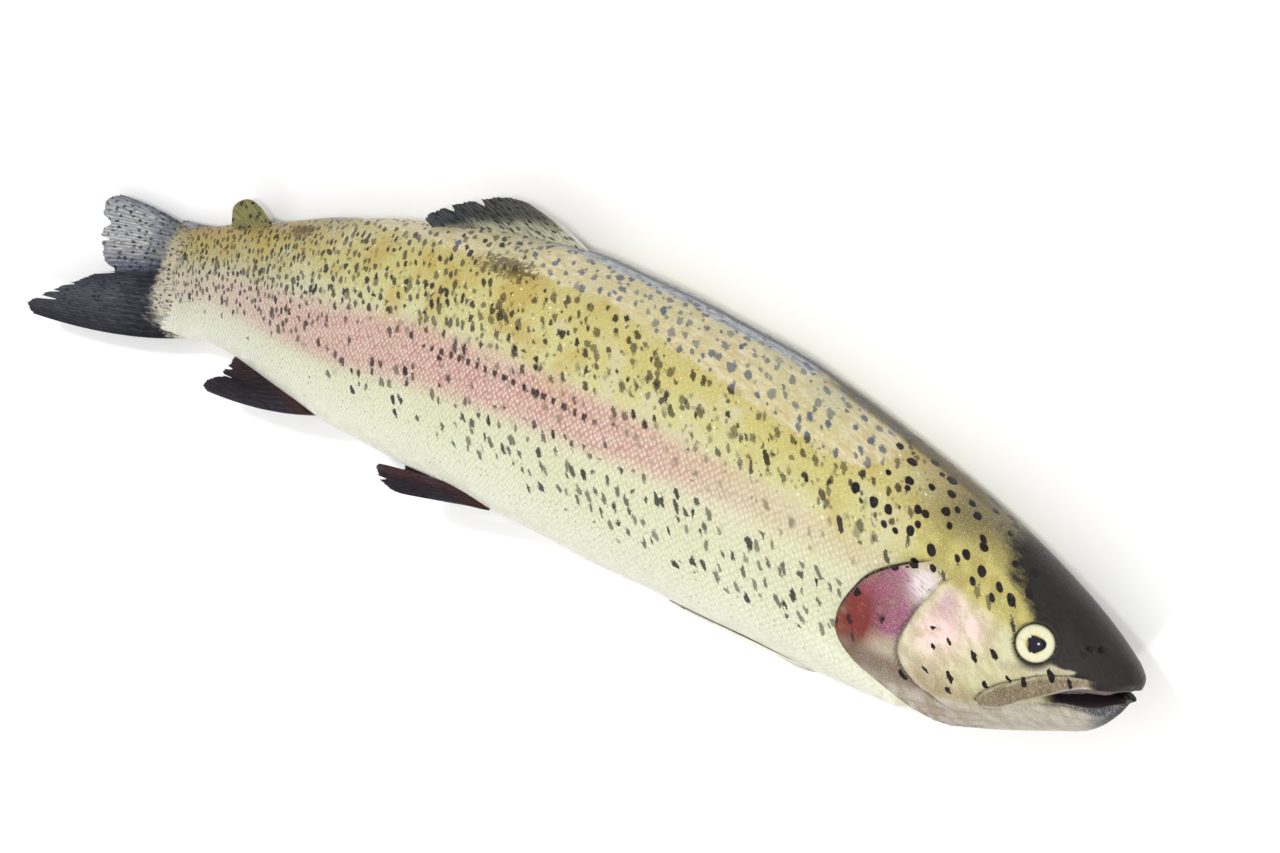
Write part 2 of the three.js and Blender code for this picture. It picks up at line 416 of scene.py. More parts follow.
SPECKS = ((2.2, 2.6), 0.0, 2.0, None, 0.20, 0.10, 0.85)
HEAD_SPOTS = ((5.4, 5.4), 0.0, 9.0, (1.0, 0.3), 0.29, 0.07, 0.95)
CHEEK_DOTS = ((5.3, 4.9), 0.2, 15.0, None, 0.22, 0.05, 0.80)

# Skin colours from the back (0) to the belly (1), on the trunk and at the tail.
TRUNK_RAMP = [
    (0.00, (0.24, 0.20, 0.10)), (0.08, (0.46, 0.41, 0.22)), (0.16, (0.55, 0.49, 0.22)),
    (0.23, (0.54, 0.47, 0.17)), (0.30, (0.55, 0.48, 0.16)), (0.37, (0.57, 0.53, 0.22)),
    (0.44, (0.62, 0.60, 0.34)), (0.50, (0.68, 0.66, 0.46)), (0.575, (0.68, 0.69, 0.48)),
    (0.64, (0.72, 0.74, 0.54)), (0.73, (0.79, 0.81, 0.64)), (0.82, (0.83, 0.84, 0.71)),
    (1.00, (0.85, 0.84, 0.76)),
]
TAIL_RAMP = [
    (0.00, (0.20, 0.14, 0.05)), (0.10, (0.28, 0.20, 0.055)), (0.22, (0.37, 0.28, 0.08)),
    (0.30, (0.42, 0.35, 0.11)), (0.38, (0.44, 0.38, 0.16)), (0.44, (0.50, 0.47, 0.30)),
    (0.50, (0.58, 0.55, 0.41)), (0.58, (0.66, 0.64, 0.49)), (0.66, (0.72, 0.71, 0.56)),
    (0.76, (0.76, 0.78, 0.66)), (1.00, (0.80, 0.81, 0.75)),
]

# Painted over the trunk's colours one after another, mark on the skin and colour: first broad
# mottled fields, then narrow parts with a finer grain.
HEAD_FIELDS = [
    ("nape", (0.45, 0.40, 0.13)),
    ("upper_nape", (0.15, 0.12, 0.055)),
    ("cheek_cream", (0.56, 0.54, 0.34)),
    ("cheek_low", (0.36, 0.29, 0.18)),
    ("cheek_pink", (0.78, 0.60, 0.57)),
    ("cheek_lilac", (0.50, 0.34, 0.42)),
    ("cover_violet", (0.29, 0.10, 0.18)),
    ("cover_red", (0.20, 0.035, 0.030)),
    ("cover_brown", (0.20, 0.145, 0.11)),
    ("throat", (0.40, 0.36, 0.31)),
]
HEAD_PARTS = [
    ("jaw", (0.46, 0.43, 0.37)),
    ("jaw_bone", (0.19, 0.145, 0.09)),
    ("under_eye", (0.50, 0.46, 0.36)),
    ("lip", (0.62, 0.55, 0.50)),
    ("jaw_tip", (0.06, 0.062, 0.080)),
    # Painted shade in the head's grooves and gill slit.
    ("crease", (0.045, 0.032, 0.026)),
    # A painted highlight along the cheek plate's rim.
    ("ridge", (0.60, 0.52, 0.42)),
]
STRIPE_ROSE = (0.62, 0.37, 0.345)
WORN_DARK, WORN_LIGHT = (0.84, 0.79, 0.68), (1.12, 1.11, 1.08)
# Painted glints: the pale of fine specks over the skin.
FINE_GLINT_WHITE = (0.92, 0.90, 0.82)
FINE_DIRT = (0.55, 0.47, 0.36)
COVER_DARK = (0.13, 0.035, 0.075)
COVER_SILVER = (0.74, 0.67, 0.66)
# Painted shade darkening each scale towards its edge, on the trunk and in the stripe; painted
# highlight in each scale's middle.
SCALE_EDGE_SHADE, STRIPE_EDGE_SHADE = (0.56, 0.55, 0.42), (0.60, 0.42, 0.37)
SCALE_HIGHLIGHT = (0.93, 0.90, 0.82)
AMBER, MILKY = (0.46, 0.31, 0.06), (0.60, 0.57, 0.42)
GRIT_BROWN = (0.13, 0.085, 0.03)
GLINT_WHITE = (0.95, 0.95, 0.90)
# Painted sheen and painted reflection: the pale along the back, slate blue at its very edge.
SHEEN_TAN, SHEEN_CREAM = (0.55, 0.46, 0.24), (0.72, 0.66, 0.48)
REFLECTION_SLATE, REFLECTION_SILVER = (0.17, 0.20, 0.26), (0.50, 0.53, 0.56)
RIDGE_BROWN = (0.10, 0.07, 0.018)
BACK_LINE = (0.035, 0.028, 0.018)
FAINT_SPOT = (0.12, 0.105, 0.07)
# Dark spots, and the slate blue they are painted where the painted sheen lies over them.
SPOT_DARK, SPOT_UNDER_SHEEN = (0.020, 0.013, 0.009), (0.085, 0.11, 0.15)
STREAK_DARK = (0.018, 0.015, 0.018)
SPECK_GREY = (0.16, 0.15, 0.15)
BEAD_DARK = (0.035, 0.020, 0.024)
CROWN_BLACK = (0.012, 0.009, 0.014)
HEAD_SPOT_BLACK = (0.016, 0.011, 0.012)
EYE_RIM = (0.030, 0.027, 0.022)
# The mouth's lining, and painted shade down in its slit.
MOUTH_LINING, MOUTH_SHADE = (0.17, 0.13, 0.13), (0.014, 0.010, 0.012)
RUBBED_BROWN = (0.075, 0.045, 0.018)
ROOT_DARK, ROOT_PALE = (0.035, 0.035, 0.045), (0.26, 0.27, 0.28)


class SkinPatterns:
    """What every layer of the skin shares: noises from broad to fine, and a few marks."""

    def __init__(self, finish):
        self.plain = finish.flat("skin")
        self.cloud = finish.noise(self.plain, 0.045, 4.0)
        self.mottle = finish.noise(self.plain, 0.22, 4.0, 0.6)
        self.grain = finish.noise(self.plain, 0.9, 3.0, 0.6)
        self.fine = finish.noise(self.plain, 2.4, 3.0, 0.7)
        self.drift = finish.noise(finish.flat("skin", (1, 1), 0.0, 21.0), 0.060, 3.0, 0.6)
        self.scaled, self.stripe, self.golden = map(finish.mark, ("scaled", "stripe", "golden"))


def broad_colours(finish, skin):
    """Back to belly, the rose stripe and the fields of the head, with ragged borders, and fine
    painted glints.
    """
    rise, mix, mark = finish.rise, finish.mix, finish.mark
    level = (mark("level") + (skin.cloud - 0.5) * 0.11 + (skin.mottle - 0.5) * 0.05
             + (skin.grain - 0.5) * 0.03)
    colour = mix(mark("tail"), finish.ramp(level, TRUNK_RAMP), finish.ramp(level, TAIL_RAMP))
    colour = mix(skin.stripe * (skin.mottle * 0.9 + 0.5), colour, STRIPE_ROSE)
    for name, paint in HEAD_FIELDS:
        colour = mix(mark(name) * (skin.mottle * 1.2 + 0.4), colour, paint)
    for name, paint in HEAD_PARTS:
        colour = mix(mark(name) * (skin.grain * 0.7 + 0.62), colour, paint)
    worn = mix(rise(skin.mottle, 0.38, 0.62), WORN_DARK, WORN_LIGHT)
    colour = mix(1.0 - skin.scaled, colour, worn, "MULTIPLY")
    # Fine pale specks over the skin are painted glints of the wet surface.
    fine_glints = rise(skin.fine, 0.52, 0.70) * (1.0 - mark("cover_red")) * 0.40
    colour = mix(fine_glints, colour, FINE_GLINT_WHITE)
    return mix(rise(skin.fine, 0.48, 0.30) * 0.35, colour, FINE_DIRT, "MULTIPLY")


def gill_streaks(finish, colour):
    """Silvery and dark streaks over the gill cover and the pink of the cheek."""
    rise, larger, mark = finish.rise, finish.larger, finish.mark
    streaks = finish.noise(finish.flat("skin", (2.6, 0.5), 0.9), 1.0, 5.0, 0.75)
    violet = mark("cover_violet")
    colour = finish.mix(rise(streaks, 0.50, 0.30) * violet * 0.7, colour, COVER_DARK)
    silver = rise(streaks, 0.55, 0.78) * violet * 0.55
    silver = larger(silver, mark("cheek_pink") * rise(streaks, 0.52, 0.80) * 0.6)
    silver = larger(silver, mark("cover_white") * rise(streaks, 0.30, 0.55))
    return finish.mix(silver, colour, COVER_SILVER)


def scales(finish, skin, colour):
    """A staggered lattice of rounded tiles, each with its own tint, its raised edges, painted shade
    at its rim and a painted highlight in its middle.
    """
    tile = (SCALE_LENGTH * math.sqrt(2), SCALE_HEIGHT * math.sqrt(2))
    tiles = finish.node("ShaderNodeVectorRotate", {"rotation_type": "Z_AXIS"}, {
        "Vector": finish.flat("skin", tile), "Angle": math.pi / 4})
    edge, (tint, _, _) = finish.cells(finish.warp(tiles, 0.45, 0.6), SCALE_SPREAD)
    strength = (skin.stripe * 0.42 - skin.golden * 0.20 + 0.34) * (skin.mottle + 0.5)
    outline = finish.mix(skin.stripe, SCALE_EDGE_SHADE, STRIPE_EDGE_SHADE)
    # Painted shade: each scale darkened towards its edge.
    rim = finish.rise(edge, 0.12, 0.72) * skin.scaled
    colour = finish.mix(rim * strength, colour, outline, "MULTIPLY")
    # Painted highlight in each scale's middle.
    shine = finish.rise(edge, 0.40, 0.05) * skin.scaled * (tint * 0.9 + 0.1)
    lit = shine * (skin.stripe * 0.35 - skin.golden * 0.10 + 0.20)
    return finish.mix(lit, colour, SCALE_HIGHLIGHT), (1.0 - edge) * skin.scaled


def golden_back(finish, skin, colour):
    """Amber and milky clouds over the golden back, dark grit in it, and white flecks that are
    painted glints.
    """
    rise, mix, golden = finish.rise, finish.mix, skin.golden
    colour = mix(rise(skin.drift, 0.50, 0.66) * golden * 0.55, colour, AMBER)
    milky = rise(skin.drift, 0.46, 0.34) * golden * (skin.grain * 0.8 + 0.1)
    colour = mix(milky, colour, MILKY)
    grit = finish.scatter(GRIT, golden * rise(skin.mottle, 0.42, 0.62) * 0.42)
    colour = mix(grit * 0.6, colour, GRIT_BROWN)
    # White flecks painted as glints of the wet skin.
    glint_marks = finish.scatter(GLINT_FLECKS, golden * rise(skin.cloud, 0.42, 0.62) * 0.4, skin.fine)
    return mix(glint_marks * 0.8, colour, GLINT_WHITE)


def sheen(finish, skin, colour):
    """Painted sheen along the back: a pale reflection painted into the colour, with a slate blue
    painted reflection towards the very edge.
    """
    rise, mix, mark = finish.rise, finish.mix, finish.mark
    fibres = finish.noise(finish.flat("skin", (4.0, 1.5), 0.7, 4.0), 1.0, 5.0, 0.7)
    torn = (mark("sheen") + (skin.mottle - 0.5) * 0.8 + (skin.cloud - 0.5) * 1.3
            + (fibres - 0.5) * 0.3)
    painted_sheen = rise(torn, 0.40, 0.66) * rise(mark("sheen"), 0.05, 0.3)
    sheen_tint = mix(rise(fibres, 0.36, 0.66), SHEEN_TAN, SHEEN_CREAM)
    # Pale painted sheen along the back.
    colour = mix(painted_sheen * rise(skin.drift, 0.25, 0.60) * 0.85, colour, sheen_tint)
    blue = mark("blue_edge") + (skin.mottle - 0.5) * 0.9 + (fibres - 0.5) * 0.5
    slate = mix(rise(fibres, 0.35, 0.7), REFLECTION_SLATE, REFLECTION_SILVER)
    # Slate blue painted reflection towards the back's very edge.
    colour = mix(rise(blue, 0.45, 0.8) * 0.85, colour, slate)
    colour = mix(mark("back_ridge") * (skin.grain * 0.8 + 0.55), colour, RIDGE_BROWN)
    return mix(mark("back_line"), colour, BACK_LINE), painted_sheen


def dark_marks(finish, skin, colour, painted_sheen):
    """Blots on the back, streaks at the tail, ragged marks on the flank, lateral line beads."""
    rise, mix, mark, larger = finish.rise, finish.mix, finish.mark, finish.larger
    scatter, grain = finish.scatter, skin.grain
    faint = scatter(FLANK_SPOTS, mark("flank_spots"), grain)
    colour = mix(faint * 0.75, colour, FAINT_SPOT)
    upper = larger(scatter(UPPER_SPOTS, mark("upper_spots"), grain),
                   scatter(SMALL_SPOTS, mark("upper_spots") * 0.55, grain))
    # Spots are painted slate blue where the painted sheen lies over them.
    colour = mix(upper * 0.95, colour, mix(painted_sheen, SPOT_DARK, SPOT_UNDER_SHEEN))
    streaked = larger(scatter(TAIL_STREAKS, mark("tail_streaks"), grain),
                      scatter(MIDDLE_MARKS, mark("middle_marks"), grain))
    crossed = scatter(LOW_MARKS, mark("low_marks"), skin.fine)
    colour = mix(larger(streaked, crossed) * 0.96, colour, STREAK_DARK)
    colour = mix(scatter(SPECKS, mark("specks")) * 0.5, colour, SPECK_GREY)

    along, _, _ = finish.places(skin.plain)
    beads = finish.node("ShaderNodeMath", {"operation": "COSINE"}, {
        0: along * (2 * math.pi / BEAD_SPACING) + skin.mottle * 6.0})
    beads = rise(beads, -0.1, 0.6) * mark("line_beads")
    return mix(rise(beads, 0.25, 0.7) * 0.92, colour, BEAD_DARK)


def crown_and_mouth(finish, skin, colour):
    """The black crown and snout, round black marks of the head, eye rims, the mouth's lining and
    painted shade in its slit.
    """
    mix, mark = finish.mix, finish.mark
    crown = mark("head_top") + (skin.mottle - 0.5) * 0.8 + (skin.grain - 0.5) * 0.5
    crown = finish.rise(crown, 0.26, 0.86)
    colour = mix(crown * 0.97, colour, CROWN_BLACK)
    spots = finish.larger(finish.scatter(HEAD_SPOTS, mark("head_spots")),
                          finish.scatter(CHEEK_DOTS, mark("cheek_dots"), skin.grain))
    colour = mix(spots * 1.5, colour, HEAD_SPOT_BLACK)
    for name, paint in (("eye_rim", EYE_RIM), ("mouth_skin", MOUTH_LINING),
                        ("mouth_dark", MOUTH_SHADE)):
        colour = mix(mark(name), colour, paint)
    return colour, crown


def rubbed_places(finish, skin, colour):
    """Places where the scales are rubbed off, and the dark frayed skin at the tail's root."""
    rise, mix, mark = finish.rise, finish.mix, finish.mark
    scuff = rise(finish.noise(skin.plain, 0.75, 5.0, 0.72) + mark("scuff") * 0.42, 0.74, 0.86)
    scuff = scuff * rise(mark("scuff"), 0.05, 0.4)
    colour = mix(scuff * 0.8, colour, RUBBED_BROWN)
    frayed = finish.noise(finish.flat("skin", (9.0, 1.3), 0.1), 1.0, 4.0, 0.6)
    stalk = mark("stalk") + (frayed - 0.5) * 1.5 + (skin.mottle - 0.5) * 0.8
    root = mix(rise(frayed, 0.38, 0.60), ROOT_DARK, ROOT_PALE)
    return mix(rise(stalk, 0.45, 0.70) * 0.9, colour, root), scuff


def skin_finish():
    finish = Finish("wet_trout_skin")
    skin = SkinPatterns(finish)
    colour = gill_streaks(finish, broad_colours(finish, skin))
    colour, tiles = scales(finish, skin, colour)
    colour, painted_sheen = sheen(finish, skin, golden_back(finish, skin, colour))
    colour = dark_marks(finish, skin, colour, painted_sheen)
    colour, crown = crown_and_mouth(finish, skin, colour)
    colour, scuff = rubbed_places(finish, skin, colour)
    height = tiles * 0.8 + skin.grain * 0.9 + skin.fine * 0.6
    relief = finish.bump(height * (1.0 - finish.mark("mouth_dark")), SKIN_RELIEF)
    roughness = 0.12 + (skin.cloud - 0.5) * 0.12 + scuff * 0.25 + crown * 0.10
    return finish.end(Base_Color=colour, Roughness=roughness, Normal=relief,
                      Specular_IOR_Level=0.14)


# ---- The body ----

FACE_ROWS = 100
COVER_ROWS = 30
SHOULDER_ROWS = 32
TRUNK_ROWS = 140
AROUND = 264
SHOULDER_END = 100.0

# The gill slit, row by row: how far behind the cover's edge, and how high over the skin.
SLIT = [(0.0, 0.5), (0.15, 0.15), (-0.9, -0.9), (-1.8, -1.9), (-0.5, -2.3), (0.7, -2.0)]
FIRST_SLIT_ROW = FACE_ROWS + COVER_ROWS
LAST_SLIT_ROW = FIRST_SLIT_ROW + len(SLIT) - 1
BODY_ROWS = LAST_SLIT_ROW + SHOULDER_ROWS + TRUNK_ROWS


def body_rows(i, angle):
    """Distance behind the snout and gill slit depth for each row; rows follow the gills."""
    size = np.abs(angle)
    cheek = smooth_lookup(size, CHEEK_EDGE)
    gill = smooth_lookup(size, GILL_EDGE)
    open_slit = rise(size, 61, 73) * (1 - 0.5 * rise(size, 155, 178))
    behind = cheek * np.clip(i / FACE_ROWS, 0, 1) ** 1.4
    in_cover = np.clip((i - FACE_ROWS) / COVER_ROWS, 0, 1)
    behind = behind + (gill - cheek) * in_cover
    slit = np.zeros_like(behind)
    for k, (back, height) in enumerate(SLIT):
        here = i == FIRST_SLIT_ROW + k
        behind = np.where(here, gill + back * open_slit + 0.12 * k * (1 - open_slit), behind)
        slit = np.where(here, height * open_slit, slit)
    last = gill + SLIT[-1][0]
    in_shoulder = np.clip((i - LAST_SLIT_ROW) / SHOULDER_ROWS, 0, 1)
    shoulder = last + (SHOULDER_END - last) * in_shoulder ** 1.2
    behind = np.where(i > LAST_SLIT_ROW, shoulder, behind)
    sunk = SLIT[-1][1] * open_slit * (1 - rise(shoulder - last, 0, 16))
    slit = np.where(i > LAST_SLIT_ROW, sunk, slit)
    in_trunk = (i - LAST_SLIT_ROW - SHOULDER_ROWS) / TRUNK_ROWS
    trunk = SHOULDER_END + (BODY_LENGTH - SHOULDER_END) * in_trunk
    behind = np.where(in_trunk > 0, trunk, behind)
    lip = hump(i, FIRST_SLIT_ROW, 5) * (i < FIRST_SLIT_ROW) * 0.45 * open_slit
    return behind, slit + lip


def head_relief(x, y, size, i):
    """How far the skin of the head stands out or in, seen from the side."""
    near = rise(x, 118, 130)
    bone = inside_outline(x, y, JAW_BONE)
    fading = 1 - rise(x, 183, 190)
    relief = (0.9 * rise(bone, -0.1, 0.9) - 0.55 * hump(bone, -0.5, 0.45)) * fading
    # cheek plate's rear rim, its groove and the sunk cover behind it
    rim = rise(size, 62, 72) * (1 - rise(size, 128, 138))
    relief += rim * (0.35 * hump(i, FACE_ROWS - 1.5, 2.0) - 0.7 * hump(i, FACE_ROWS + 2.0, 1.3))
    relief += 0.7 * spot(x, y, (134, -4), (9, 12), 20)
    # lower limb of the cheek plate and the folds of the gill membrane below it
    limb = y + 19.7 - 0.05 * (x - 155)
    relief -= 0.5 * hump(limb, 0, 0.6) * rise(x, 146, 150) * (1 - rise(x, 163, 168))
    folds = (rise(size, 126, 134) * (i < FIRST_SLIT_ROW) * rise(x, 130, 140)
             * (1 - rise(x, 158, 172)))
    relief += 0.32 * np.sin(np.radians(size) * 36 + x * 0.12) * folds
    # brow, hollow in front of the cheek plate, bones under the eye, snout
    relief += 0.55 * spot(x, y, (171, 9.6), (7, 1.8), -12)
    relief -= 0.6 * spot(x, y, (157, -3), (5, 6), 10)
    relief += 0.4 * spot(x, y, (175, -2.6), (7, 1.0), 15)
    relief += 0.4 * spot(x, y, (161, 3), (3, 5), 10)
    # nostrils: two pits behind a small flap
    for cx, cy, depth in ((186.6, 6.3, 1.3), (184.3, 6.0, 1.0)):
        far = np.hypot(x - cx, (y - cy) * 1.2)
        relief += -depth * hump(far, 0, 0.62) + 0.32 * hump(far, 1.15, 0.4)
    # lower jaw: set in a little, grooved along its middle underneath
    relief -= 0.9 * rise(x, 160, 172) * rise(size, 118, 128) * (1 - rise(size, 150, 170))
    relief -= 0.5 * hump(size, 180, 5) * rise(x, 162, 170) * (1 - rise(x, 188, 194))
    return relief * near


def mouth(x, y):
    """How far the skin is drawn in between the lips, and where painted shade darkens the gap."""
    top = smooth_lookup(x, UPPER_LIP)
    bottom = smooth_lookup(x, LOWER_LIP)
    gap = np.maximum(top - bottom, 0.01)
    height = (y - bottom) / gap
    reach = rise(x, 175, 178.5)
    between = rise(height, 0.0, 0.28) * (1 - rise(height, 0.90, 1.06)) * reach
    slit = between * (1 - rise(height, 0.40, 0.62))
    shelf = between - slit
    open_wide = rise(gap, 0.6, 2.6)
    depth = (3.4 * slit + 1.1 * shelf) * open_wide
    # Painted shade down in the slit between the lips.
    dark = rise(height, -0.16, -0.04) * (1 - rise(height, 0.46, 0.62)) * reach
    lining = rise(height, 0.42, 0.58) * (1 - rise(height, 0.93, 1.03)) * reach
    return depth, dark * open_wide, lining * open_wide


def head_marks(x, y, size, i):
    """Where each colour of the head lies."""
    front = rise(x, 118, 122)
    cover = ((i > FACE_ROWS + 1) & (i <= FIRST_SLIT_ROW)) * rise(size, 63, 68)
    plate = 1 - rise(i, FACE_ROWS - 4, FACE_ROWS + 1)
    crown_line = smooth_lookup(y, [(-6, 190), (-3.4, 187), (-2, 183), (-0.8, 179), (0, 176.5),
                                   (2, 175), (5, 173), (8, 170), (11, 167.5), (14, 165.5),
                                   (20, 162.5), (28, 158), (40, 150)])
    bone = inside_outline(x, y, JAW_BONE)
    lip_height = y - smooth_lookup(x, UPPER_LIP)
    low_lip = y - smooth_lookup(x, LOWER_LIP)
    below_mouth = rise(-low_lip, -0.1, 0.5) * rise(x, 161, 166) * (bone < 0.2)
    eye_far = np.hypot(x - 172.3, (y - 3.4) * 0.96)
    slit_rows = (i > FIRST_SLIT_ROW + 0.5) & (i < LAST_SLIT_ROW + 0.5)
    open_slit = rise(size, 64, 72)
    under_eye = y - 0.22 * (x - 176.5)
    groove = hump(i, FACE_ROWS + 2.2, 1.1) * rise(size, 64, 70) * (1 - rise(size, 128, 136))
    return {
        "nape": front * (1 - rise(size, 66, 78)) * rise(x, 134, 144),
        "upper_nape": rise(y, 17, 27) * rise(x, 124, 148) * (1 - rise(size, 40, 60)) * 0.9,
        "cheek_cream": plate * rise(size, 70, 80) * (1 - rise(size, 122, 132)) * front,
        "cheek_low": np.clip(spot(x, y, (149, -16), (7, 5.5), -20) * 1.3
                             + spot(x, y, (160, -17), (6, 2.5), 0), 0, 1) * plate * 0.8,
        "cheek_pink": np.clip(spot(x, y, (149, 0.5), (6.5, 9), 10) * 1.4
                              + spot(x, y, (159, 2), (2.6, 4.5), 25) * 0.8, 0, 1) * plate
                      * rise(size, 66, 74),
        "cheek_lilac": np.clip(spot(x, y, (149.5, 5.5), (2.6, 4.5), 20) * 0.8, 0, 1) * plate,
        "cover_violet": cover * np.clip(spot(x, y, (135.5, 1.5), (9, 10), 30) * 1.9, 0, 1),
        "cover_red": cover * np.clip(spot(x, y, (126.5, -9), (6.5, 11), -18) * 2.0, 0, 1),
        "cover_white": cover * np.clip(spot(x, y, (143, 8.4), (3.6, 4.6), 20) * 1.3, 0, 1),
        "cover_brown": cover * rise(-y, 9, 16),
        "throat": rise(size, 120, 132) * rise(x, 126, 134) * (i < FIRST_SLIT_ROW)
                  * (1 - rise(size, 150, 176) * 0.5),
        "jaw": np.clip(below_mouth * (1 - 0.55 * rise(size, 130, 165)), 0, 1),
        "jaw_bone": rise(bone, -0.2, 0.5) * (1 - 0.6 * rise(x, 184, 189)),
        "under_eye": hump(under_eye, -2.1, 0.75) * rise(x, 163, 168)
                     * (1 - rise(x, 182.5, 185)),
        "lip": hump(lip_height, 0.45, 0.42) * rise(x, 162, 168) * (1 - rise(x, 186, 194)),
        "jaw_tip": below_mouth * np.clip(rise(x, 188, 196) + hump(low_lip, -0.7, 0.7)
                                         * rise(x, 172, 182) * 0.85, 0, 1),
        # Painted shade in the grooves by the jaw bone and the cheek plate's rim, and down in the
        # gill slit.
        "crease": np.clip(hump(bone, -0.45, 0.33) * (lip_height > 0.5) * (1 - rise(x, 183, 189))
                          + slit_rows * open_slit + groove * 0.8, 0, 1),
        # Painted highlight along the cheek plate's rim.
        "ridge": hump(i, FACE_ROWS - 1, 1.4) * rise(size, 66, 74)
                 * (1 - rise(size, 124, 132)) * 0.7,
        "head_top": np.clip(rise(x - crown_line, -3.5 - 9 * rise(y, 10, 20), 3.5)
                            * (lip_height > -0.4)
                            * (1 - rise(bone, -0.4, 0.3) * (1 - rise(x, 184, 189))), 0, 1)
                    * (1 - hump(under_eye, -2.1, 0.7) * 0.8
                       * (1 - rise(x, 182, 185))),
        "eye_rim": 1 - rise(eye_far, 5.0, 5.6 + 2.0 * rise(x - y, 167, 177)),
        "head_spots": np.clip(0.97 * (1 - rise(size, 64, 74)) * rise(x, 112, 130)
                              * (1 - rise(x, 164, 174))
                              + 0.5 * hump(i, FACE_ROWS + 6, 5) * rise(size, 100, 110)
                              + 0.55 * hump(i, FIRST_SLIT_ROW - 2, 4) * (1 - rise(size, 90, 100))
                              + 0.5 * spot(x, y, (178, -1.5), (10, 3)), 0, 0.95)
                      * (1 - rise(size, 124, 134)),
        "cheek_dots": np.clip(1.8 * spot(x, y, (155, -9), (11, 6.5), -12)
                              + 0.6 * spot(x, y, (175, -5), (9, 3), 30), 0, 0.85),
    }


def eye_socket(points, middle):
    """How far the skin is drawn in round an eye, measured from the socket's own middle."""
    far = np.linalg.norm(points - middle, axis=-1)
    bowl = -3.4 * (1 - rise(far, EYE_OPENING - 1.1, EYE_OPENING + 0.15))
    rim = 0.45 * hump(far, EYE_OPENING + 0.7, 0.5) - 0.15 * hump(far, EYE_OPENING + 1.9, 0.7)
    return bowl + rim


def eye_axis(side):
    """The middle of an eyeball and the way it looks out."""
    centre = np.array([EYE_X, EYE_Y, EYES_MIDDLE_Z + side * EYE_OFFSET])
    gaze = np.array([GAZE[0], GAZE[1], GAZE[2] * side])
    return centre, gaze / np.linalg.norm(gaze)


def body_piece():
    def angles(j):
        return j / AROUND * 360 - 180

    def place(i, j):
        angle = angles(j)
        behind, slit = body_rows(i, angle)
        points, normal = body_surface(behind, angle), body_normal(behind, angle)
        x, y, size = points[:, 0], points[:, 1], np.abs(angle)
        relief = slit + head_relief(x, y, size, i) - mouth(x, y)[0]
        for side in (1, -1):
            centre, gaze = eye_axis(side)
            on_skin = centre + gaze * math.sqrt(EYE_RADIUS**2 - EYE_OPENING**2)
            relief += eye_socket(points, on_skin)
        relief += trunk_relief(behind, angle)
        tip = rise(behind, 0, 1.5)[:, None]
        relief_ways = normal * tip + np.array([1.0, 0, 0]) * (1 - tip)
        points = points + relief_ways * relief[:, None]
        points[:, 0] -= 2.2 * rise(-y, 3.5, 6.5) * rise(x, 180, 197)
        points[:, 0] -= 1.3 * hump(y, -3.4, 1.5) * rise(x, 190, 199)
        above_lip = y - smooth_lookup(x, UPPER_LIP)
        points[:, 0] -= 1.9 * (1 - rise(above_lip, -0.4, 3.6)) * rise(x, 191, 198) * (y > -5)
        points[:, 1] -= 2.0 * hump(x, 192.5, 7.5) * rise(-y, 5.5, 8.5)
        points[:, 2] = np.maximum(points[:, 2], 0.0)
        return points

    def extras(i, j):
        angle = angles(j)
        behind, _ = body_rows(i, angle)
        points = body_surface(behind, angle)
        x, y, size = points[:, 0], points[:, 1], np.abs(angle)
        marks = head_marks(x, y, size, i)
        _, marks["mouth_dark"], marks["mouth_skin"] = mouth(x, y)
        marks.update(trunk_marks(behind, angle, i))
        marks["skin"] = np.stack([behind, girth_position(behind, angle)], -1) * MM
        return marks

    return grid_mesh("body_skin", BODY_ROWS, AROUND, place, extras)


def girth_position(behind, angle):
    """Distance round the skin from the middle of the back, positive on the right flank."""
    fine = np.linspace(0, 180, 61)
    stations = np.linspace(0, BODY_LENGTH, 93)
    lengths = []
    for station in stations:
        ring = body_surface(np.full(fine.shape, station), fine)
        steps = np.linalg.norm(np.diff(ring, axis=0), axis=1)
        lengths.append(np.concatenate([[0], np.cumsum(steps)]))
    lengths = np.array(lengths)
    row = behind / BODY_LENGTH * (len(stations) - 1)
    column = np.abs(angle) / 180 * (len(fine) - 1)
    r = np.minimum(row.astype(int), len(stations) - 2)
    c = np.minimum(column.astype(int), len(fine) - 2)
    fr, fc = row - r, column - c
    found = ((1 - fr) * ((1 - fc) * lengths[r, c] + fc * lengths[r, c + 1])
             + fr * ((1 - fc) * lengths[r + 1, c] + fc * lengths[r + 1, c + 1]))
    return found * np.sign(angle)


def trunk_relief(behind, angle):
    """Slow unevenness of the flesh, the lateral line and the vent."""
    size = np.abs(angle)
    body = rise(behind, 80, 110) * (1 - rise(behind, 340, 365))
    waves = (np.sin(behind * 0.071 + size * 0.05) * np.sin(size * 0.045 + 1.3)
             + 0.6 * np.sin(behind * 0.17 - size * 0.09 + 2.0))
    relief = 0.28 * waves * body
    line = 87 + 5 * rise(behind, 230, 310)
    relief -= 0.22 * hump(size, line, 1.6) * body
    relief -= 1.2 * hump(behind, VENT, 2.2) * hump(size, 180, 7)
    relief += 0.5 * hump(behind, VENT, 5.5) * hump(size, 180, 16)
    return relief


